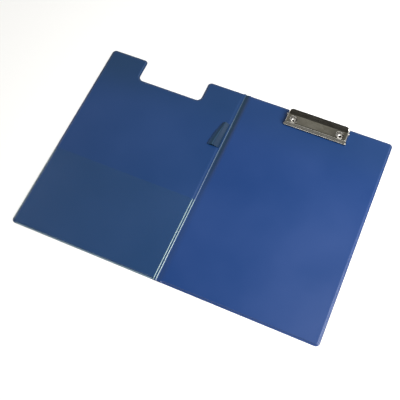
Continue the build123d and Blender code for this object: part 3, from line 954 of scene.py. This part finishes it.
def rivet(name, place, splits, gap_width):
    """One set rivet, turned from its line, with its rolled end split at some angles."""
    points = []
    line = [(r, RIVET_SEAT + z, True) for r, z in FLARE_LINE] + [(2.0, 0.6, False)]
    line += [(r, z, False) for r, z in HEAD_LINE]
    for k in range(ROUND_STEPS):
        angle = 360 * k / ROUND_STEPS
        gap = petal_gap(angle, splits, gap_width)
        for index, (r, z, rolled) in enumerate(line):
            if rolled and index in SPLIT_POINTS:
                reach = min(1, (r - BORE_EDGE) / 1.6)
                z = RIVET_SEAT + max(0.06, (z - RIVET_SEAT) * (1 - 0.85 * gap * reach))
                r = r - 0.5 * gap * max(0, (r - 3) / 2.3)
            points.append((place[0] + r * cos(radians(angle)), place[1] + r * sin(radians(angle)), z))
    rows = even_rows(ROUND_STEPS, len(line))
    piece = make_piece(name, points, joined_rows(rows + rows[:1], closed=False), crease_angle=50)
    piece.data.materials.append(rivet_nickel)
    piece.data.materials.append(bore_painted_shade)
    # the bore's faces take the painted shade of the rivet's hollow
    for face in piece.data.polygons:
        x, y, z = face.center / MM
        if dist((x, y), place) < BORE_EDGE and z > RIVET_SEAT - 1:
            face.material_index = 1
    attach(piece, "back_cover")
    return piece


rivet_nickel = plated_steel("rivet_nickel", RIVET_NICKEL, RIVET_NICKEL_DULL, 0.42, 2.5, 0.05)
bore_painted_shade, bore_tree, _ = plain_material("bore_painted_shade", BORE_SHADE, 0.6, metallic=1.0)
paint_steps(bore_tree, noise_value(bore_tree, 900), [(0, BORE_SHADE), (1, BORE_SHADE_GREY)])
left_rivet = rivet("left_rivet", RIVET_PLACES[0], LEFT_SPLITS, LEFT_SPLIT_WIDTH)
rivet("right_rivet", RIVET_PLACES[1], RIGHT_SPLITS, RIGHT_SPLIT_WIDTH)
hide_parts("clip_rivets")


# The pivot rod: drawn steel wire through the base plate's ears and the jaw's
# flanges, with both ends peened into low domes outside the flanges.
CLIP_X = 122.3
ROD_Y = 158.0
ROD_Z = 6.7
ROD_STEPS = 32
# radius and distance from the middle, from one head's top to the middle
ROD_LINE = [
    (0.0, 51.0), (0.6, 50.97), (1.1, 50.87), (1.48, 50.7), (1.7, 50.5), (1.74, 50.36), (1.6, 50.14),
    (1.2, 49.9), (1.2, 40.0), (1.2, 20.0), (1.2, 0.0),
]
DRAWN_STEEL = (0.62, 0.61, 0.59, 1)
DRAWN_STEEL_DULL = (0.5, 0.49, 0.47, 1)

rod_line = ROD_LINE + [(r, -x) for r, x in reversed(ROD_LINE[:-1])]
rod_points = []
for k in range(ROD_STEPS):
    angle = 2 * pi * k / ROD_STEPS
    rod_points += [(CLIP_X + x, ROD_Y + r * cos(angle), ROD_Z + r * sin(angle)) for r, x in rod_line]
rod_rows = even_rows(ROD_STEPS, len(rod_line))
rod = make_piece("pivot_rod", rod_points, joined_rows(rod_rows[:1] + rod_rows[::-1], closed=False))
drawn_steel = plated_steel("drawn_steel", DRAWN_STEEL, DRAWN_STEEL_DULL, 0.25, 3, 0.01)
rod.data.materials.append(drawn_steel)
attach(rod, "back_cover")
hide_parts("clip_pivot_rod")


# The two torsion springs on the rod: spring wire, wound in three and a half
# turns. The lower leg stays on the base plate, the upper leg goes with the jaw,
# and the coil between them twists.
WIRE_RADIUS = 0.45
COIL_RADIUS = 1.8
COIL_PITCH = 1.4
COIL_TURNS = 3.5
SPRING_OFFSET = 22.0
# how far each leg is turned from level, in degrees, and its length
LOWER_LEG = (9.85, 5.59)
UPPER_LEG = (18.64, 6.1)
WIRE_SIDES = 12
STEPS_A_TURN = 28
SPRING_STEEL = (0.4, 0.39, 0.37, 1)
SPRING_STEEL_DULL = (0.3, 0.29, 0.28, 1)

spring_steel = plated_steel("spring_steel", SPRING_STEEL, SPRING_STEEL_DULL, 0.3, 2, 0.01)


def tube(name, path, radius, sides):
    """A closed round tube along a path of points."""
    points = []
    side_way = Vector((1, 0, 0))
    for i, spot in enumerate(path):
        way = (path[min(i + 1, len(path) - 1)] - path[max(i - 1, 0)]).normalized()
        out = (side_way - way * side_way.dot(way)).normalized()
        side_way = out
        up = way.cross(out)
        for k in range(sides):
            angle = 2 * pi * k / sides
            points.append(tuple(spot + radius * (out * cos(angle) + up * sin(angle))))
    rows = even_rows(len(path), sides)
    faces = joined_rows(rows, closed=True) + [tuple(reversed(rows[0])), tuple(rows[-1])]
    return make_piece(name, points, faces)


def spring(name, side, node):
    """One torsion spring, its legs straight and its coil round the rod."""
    turned = 360 * COIL_TURNS - LOWER_LEG[0] - UPPER_LEG[0]
    half_run = COIL_PITCH * turned / 720
    steps = round(STEPS_A_TURN * turned / 360)
    middle = CLIP_X + side * SPRING_OFFSET
    coil = []
    for step in range(steps + 1):
        angle = radians(-90 - LOWER_LEG[0] - turned * step / steps)
        along = side * half_run * (2 * step / steps - 1)
        over, up = COIL_RADIUS * cos(angle), COIL_RADIUS * sin(angle)
        coil.append(Vector((middle + along, ROD_Y + over, ROD_Z + up)))
    first_way = (coil[0] - coil[1]).normalized()
    last_way = (coil[-1] - coil[-2]).normalized()
    lower = [coil[0] + first_way * LOWER_LEG[1] * s for s in (1, 0.66, 0.33)]
    upper = [coil[-1] + last_way * UPPER_LEG[1] * s for s in (0.33, 0.66, 1)]
    piece = tube(name, lower + coil + upper, WIRE_RADIUS, WIRE_SIDES)
    piece.data.materials.append(spring_steel)
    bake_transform(piece)
    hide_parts(node)


spring("left_spring", -1, "jaw_spring_left")
spring("right_spring", 1, "jaw_spring_right")


# The jaw: one pressing of nickel-plated steel, 0.8 mm, bent to a front lip, a
# ledge, a flat top and a thumb lip, with an end flange down each side. Two
# access holes lie over the rivets, and the rod passes through the flanges.
CLIP_FRONT_Y = 139.4
COVER_FACE = 2.6
JAW_WALL = 0.8
# the middle of the sheet from lip to thumb lip, from the clip's front and the
# cover's face, and the radius of each bend between
JAW_LINE = [(0.4, 0.2), (0.4, 2.8), (1.5, 3.15), (4.1, 7.2), (18.2, 7.5), (22.6, 8.35), (27.1, 10.2)]
JAW_BENDS = [0.8, 0.6, 1.0, 1.6, 3.0]
JAW_HALF = 51.0
END_BEND = 1.55
END_TURN = 75
END_STEPS = 6
END_STEP = 0.5
# the top's points are even out to here, and drawn in from here to its ends
EVEN_HALF = 40
FLANGE_REAR_Y = 25.1
FLANGE_REAR_Z = 4.0
FLANGE_FOOT = (18.6, 0.2)
HOLE_RADIUS = 6.6
HOLE_Y = 10.5
HOLE_OFFSET = 38.0
HOLE_STEPS = 56
REAR_CORNER = 2.6
# the rod's hole in a flange, from the clip's front and the cover's face, and its radius
ROD_HOLE = (18.6, 4.1, 1.25)
ROD_HOLE_STEPS = 24
FLANGE_MARGIN = 0.63
NICKEL = (0.7, 0.68, 0.63, 1)
NICKEL_DULL = (0.58, 0.56, 0.5, 1)
# painted shade and dark reflection on the jaw's lip, wall and top ends
DARK_REFLECTION_PAINT = (0.07, 0.068, 0.058, 1)


def bent_line(corners, radii, steps):
    """A line of points with a round bend at each inner corner."""
    corners = [Vector(c) for c in corners]
    line = [corners[0]]
    for before, corner, after, radius in zip(corners, corners[1:], corners[2:], radii):
        way_in, way_out = (corner - before).normalized(), (after - corner).normalized()
        turn = way_in.angle(way_out)
        run = radius * np.tan(turn / 2)
        side = 1 if way_in.cross(way_out) > 0 else -1
        first = corner - way_in * run
        centre = first + Vector((-way_in.y, way_in.x)) * side * radius
        for k in range(steps + 1):
            spoke = first - centre
            spoke.rotate(Matrix.Rotation(side * turn * k / steps, 2))
            line.append(centre + spoke)
    return line + [corners[-1]]


def with_runs(line, longest):
    """The same line with its straight runs divided."""
    divided = [line[0]]
    for a, b in zip(line, line[1:]):
        count = max(1, round((b - a).length / longest))
        divided += [a.lerp(b, k / count) for k in range(1, count + 1)]
    return divided


jaw_middle = with_runs(bent_line(JAW_LINE, JAW_BENDS, 6), 1.6)
last = len(jaw_middle) - 1
jaw_ways = [(jaw_middle[min(i + 1, last)] - jaw_middle[max(i - 1, 0)]).normalized() for i in range(last + 1)]
jaw_out = [Vector((-way.y, way.x)) for way in jaw_ways]
jaw_outer = [spot + out * JAW_WALL / 2 for spot, out in zip(jaw_middle, jaw_out)]
jaw_run = np.cumsum([0] + [(b - a).length for a, b in zip(jaw_outer, jaw_outer[1:])])
jaw_length = float(jaw_run[-1])
end_drop = END_BEND * (1 - cos(radians(END_TURN)))
end_reach = END_BEND * sin(radians(END_TURN))


def flange_x(z):
    """How far out a flange's outer face is at a height over the cover."""
    return JAW_HALF - 0.0355 * z * z - 0.064 * z


def on_jaw_line(run):
    """The outer line's place and outward way at a distance along it."""
    place = Vector([float(np.interp(run, jaw_run, [p[i] for p in jaw_outer])) for i in (0, 1)])
    out = Vector([float(np.interp(run, jaw_run, [p[i] for p in jaw_out])) for i in (0, 1)])
    return place, out.normalized()


def jaw_waves(x, y):
    """The slight dents of a thin pressing, stronger on the thumb lip."""
    rough = 0.03 + 0.1 * within_one((y - 17.5) / 3)
    return rough * (wave(x / 8, y / 4, 1.7) + 0.5 * wave(x / 4, y / 3.2, 5.2) - 0.8)


def jaw_top_point(across, run):
    """A point of the jaw's top from its place across and along the sheet."""
    place, out = on_jaw_line(run)
    end = place - out * end_drop
    end_x = flange_x(end.y)
    from_rear = max(0, jaw_length - run)
    if from_rear < REAR_CORNER:
        end_x -= REAR_CORNER - sqrt(REAR_CORNER ** 2 - (REAR_CORNER - from_rear) ** 2)
    size = abs(across)
    bend_start = JAW_HALF - END_STEPS * END_STEP
    if size <= EVEN_HALF:
        x, drop = size, 0
    elif size <= bend_start:
        share = (size - EVEN_HALF) / (bend_start - EVEN_HALF)
        x, drop = EVEN_HALF + share * (end_x - end_reach - EVEN_HALF), 0
    else:
        turn = radians(END_TURN) * (size - bend_start) / (JAW_HALF - bend_start)
        x, drop = end_x - end_reach + END_BEND * sin(turn), END_BEND * (1 - cos(turn))
    spot = place - out * drop
    inner = within_one((46 - size) / 4)
    return (x if across >= 0 else -x, spot.x, spot.y + inner * jaw_waves(across, spot.x))


def sheet_from_outline(loops, spots, keep):
    """Even triangles inside the first closed loop and outside the others."""
    flat, edges = [], []
    for loop in loops:
        first = len(flat)
        flat += [Vector(p) for p in loop]
        edges += [(first + k, first + (k + 1) % len(loop)) for k in range(len(loop))]
    flat += [Vector(p) for p in spots]
    places, _, triangles, _, _, _ = delaunay_2d_cdt(flat, edges, [], 1, 1e-6)
    faces = []
    for a, b, c in triangles:
        middle = (places[a] + places[b] + places[c]) / 3
        if not keep(middle.x, middle.y):
            continue
        if (places[b] - places[a]).cross(places[c] - places[a]) < 0:
            a, b = b, a
        faces.append((a, b, c))
    return [tuple(p) for p in places], faces


hole_places = [(side * HOLE_OFFSET, HOLE_Y) for side in (-1, 1)]
stations = list(np.arange(-48, 48.1, 2.0))
stations += [side * (JAW_HALF - END_STEP * k) for side in (-1, 1) for k in range(END_STEPS + 1)]
stations = sorted(set(stations))
outer_loop = [(x, 0.0) for x in stations]
outer_loop += [(JAW_HALF, r) for r in jaw_run[1:-1]]
outer_loop += [(x, jaw_length) for x in reversed(stations)]
outer_loop += [(-JAW_HALF, r) for r in reversed(jaw_run[1:-1])]


def run_at_y(y):
    """How far along the sheet a place behind the front lip is."""
    behind = [(place.x, run) for place, run in zip(jaw_outer, jaw_run) if place.x > 2.5]
    return float(np.interp(y, [place for place, _ in behind], [run for _, run in behind]))


def hole_ring(hx, hy, radius):
    """Places round an access hole, on the sheet laid flat."""
    turns = [2 * pi * k / HOLE_STEPS for k in range(HOLE_STEPS)]
    return [(hx + radius * cos(turn), run_at_y(hy + radius * sin(turn))) for turn in turns]


def clear_of_holes(across, run, margin):
    """Whether a place on the sheet is outside both access holes."""
    y = on_jaw_line(run)[0].x
    return all(dist((across, y), hole) > HOLE_RADIUS + margin for hole in hole_places)


inner_spots = [(x, r) for x in stations[1:-1] for r in jaw_run[1:-1] if clear_of_holes(x, r, 0.6)]
for hole in hole_places:
    inner_spots += hole_ring(*hole, HOLE_RADIUS + 0.3)
hole_loops = [hole_ring(*hole, HOLE_RADIUS) for hole in hole_places]
top_places, top_faces = sheet_from_outline(
    [outer_loop] + hole_loops, inner_spots, lambda across, run: clear_of_holes(across, run, -0.05)
)
jaw_points = [jaw_top_point(across, run) for across, run in top_places]
jaw_faces = list(top_faces)

# the end flanges, below the rounded bends
flange_top = []
for run in jaw_run:
    place, out = on_jaw_line(run)
    end = place - out * end_drop
    if end.x <= FLANGE_REAR_Y:
        flange_top.append((end.x, end.y))
flange_corners = [flange_top[-1], (flange_top[-1][0], FLANGE_REAR_Z), FLANGE_FOOT, flange_top[0]]
flange_low = with_runs([Vector(corner) for corner in flange_corners], 1.5)
flange_loop = flange_top[::-1] + [tuple(p) for p in reversed(flange_low[1:-1])]
rod_loop = []
for k in range(ROD_HOLE_STEPS):
    turn = 2 * pi * k / ROD_HOLE_STEPS
    rod_loop.append((ROD_HOLE[0] + ROD_HOLE[2] * cos(turn), ROD_HOLE[1] + ROD_HOLE[2] * sin(turn)))


def in_flange(y, z):
    """Whether a place in the side view lies on the flange and outside the rod's hole."""
    if dist((y, z), ROD_HOLE[:2]) < ROD_HOLE[2] - 0.02:
        return False
    inside = False
    for (ay, az), (by, bz) in zip(flange_loop, flange_loop[1:] + flange_loop[:1]):
        if (az > z) != (bz > z) and y < ay + (z - az) / (bz - az) * (by - ay):
            inside = not inside
    return inside


flange_spots = [
    (y, z) for y in np.arange(1.5, 25, 1.5) for z in np.arange(1.2, 10, 1.2)
    if in_flange(y, z) and dist((y, z), ROD_HOLE[:2]) > 2
    and min(dist((y, z), spot) for spot in flange_loop) > FLANGE_MARGIN
]
flange_places, flange_faces = sheet_from_outline([flange_loop, rod_loop], flange_spots, in_flange)
for side in (-1, 1):
    first = len(jaw_points)
    jaw_points += [(side * flange_x(z), y, z) for y, z in flange_places]
    jaw_faces += [tuple(first + i for i in (face if side > 0 else reversed(face))) for face in flange_faces]

jaw_points = [(CLIP_X + x, CLIP_FRONT_Y + y, COVER_FACE + z) for x, y, z in jaw_points]
jaw = make_piece("jaw_plate", jaw_points, jaw_faces)
thicken(jaw, JAW_WALL, crease_angle=42)
soft_edges = jaw.modifiers.new("sheared_edges", "BEVEL")
soft_edges.width = 0.1 * MM
soft_edges.segments = 2
soft_edges.limit_method = "ANGLE"
soft_edges.angle_limit = radians(58)
settle(jaw)
smooth(jaw, 42)


def shade_and_reflection_share(x, y, z):
    """Painted shade and dark reflection: strong on the front lip's face below its bend, less on the wall
    behind it, slight towards both ends of the flat top, more at the right."""
    across, behind, up = x - CLIP_X, y - CLIP_FRONT_Y, z - COVER_FACE
    lip = 0.9 * fade(behind, 0.25, 0.06) * fade(up, 2.5, 0.15)
    wall = 0.62 * fade(behind, 1.0, -0.1) * fade(behind, 4.2, 0.12)
    right_end = 0.5 * fade(across, 24, -5) * fade(across, 47.5, 0.5)
    left_end = 0.3 * fade(across, -28, 5) * fade(across, -47.5, -0.5)
    on_top = fade(behind, 5.0, -0.4) * fade(behind, 18, 0.4)
    return min(1, lip + wall + on_top * (right_end + left_end))


nickel = plated_steel("nickel_plating", NICKEL, NICKEL_DULL, 0.16, 7, 0.03)
# painted shade and dark reflection on the jaw's lip, wall and top ends
paint_over(jaw, nickel, "shade_and_reflection_share", shade_and_reflection_share, DARK_REFLECTION_PAINT)
jaw.data.materials.append(nickel)
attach(jaw, "clip_jaw")
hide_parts("clip_jaw_plate")
